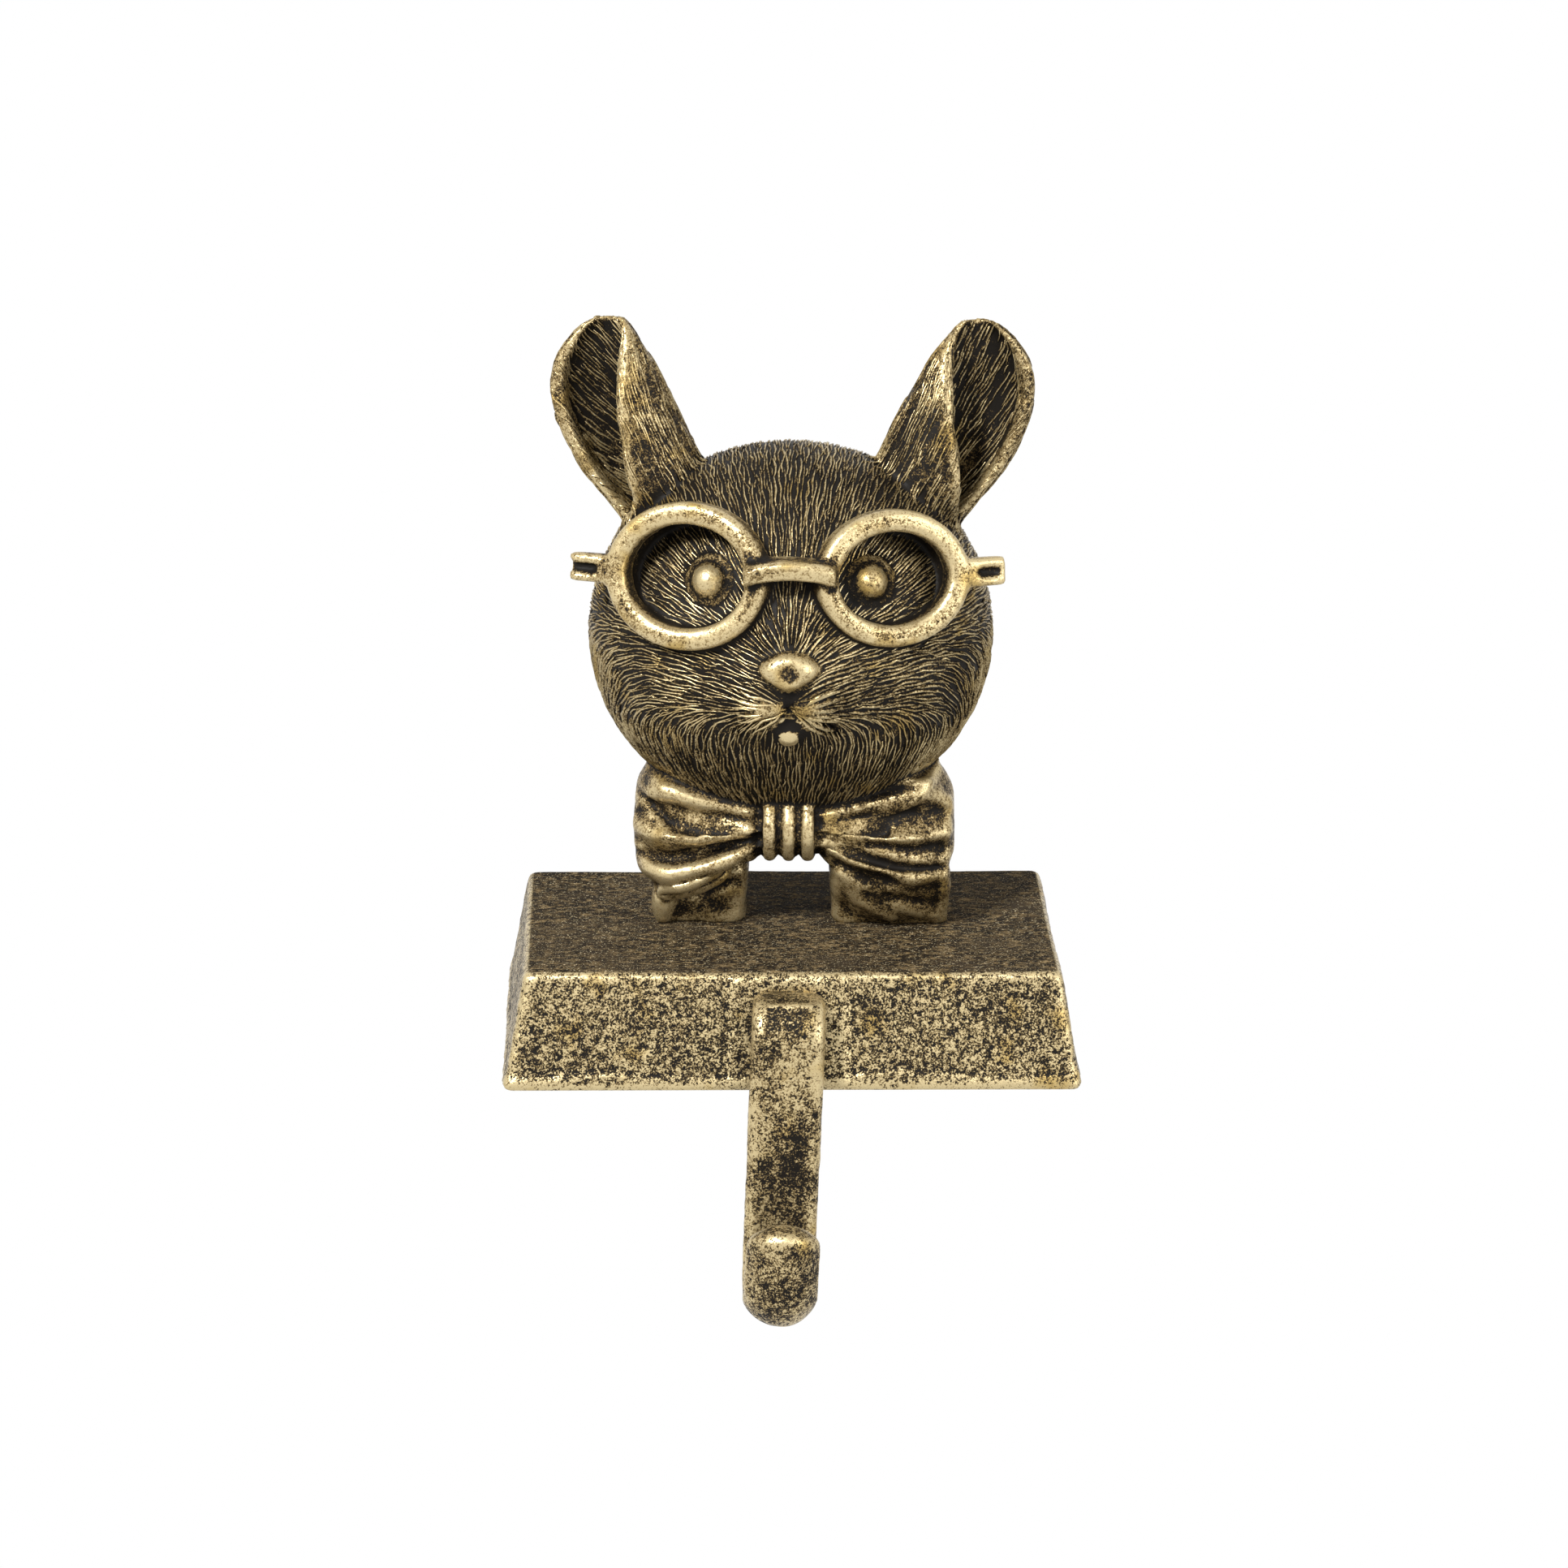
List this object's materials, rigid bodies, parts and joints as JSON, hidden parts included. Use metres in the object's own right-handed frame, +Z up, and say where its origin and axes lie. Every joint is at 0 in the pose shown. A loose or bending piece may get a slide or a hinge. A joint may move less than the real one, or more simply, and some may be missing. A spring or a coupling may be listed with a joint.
{
  "type": "mantel stocking holder",
  "caption": "weighted block that stands at the edge of a shelf, with a J hook for a stocking in front and a cast mouse bust in round glasses and a bow tie on top",
  "frame": {"origin": "middle of the underside of the felt pad, on the mantel's top", "axes": "+X to the viewer's right, -Y towards the viewer and over the mantel's front edge, +Z up"},
  "size_m": [0.1138, 0.1037, 0.1895],
  "materials": {
    "base_block": "rough sand casting, black with gold rubbed over it",
    "felt_pad": "black felt",
    "hook": "black with gold rubbed over it, bright along the edges",
    "screws": "zinc plated",
    "mouse_bust": "cast resin, black with gold brushed over the raised fur and cloth"
  },
  "bodies": {
    "root": {"base_block": "base_block", "felt_pad": "felt_pad", "hook": "hook", "hook_screw": "screws", "bust_screws": "screws", "mouse_bust": "mouse_bust"}
  },
  "joints": []
}
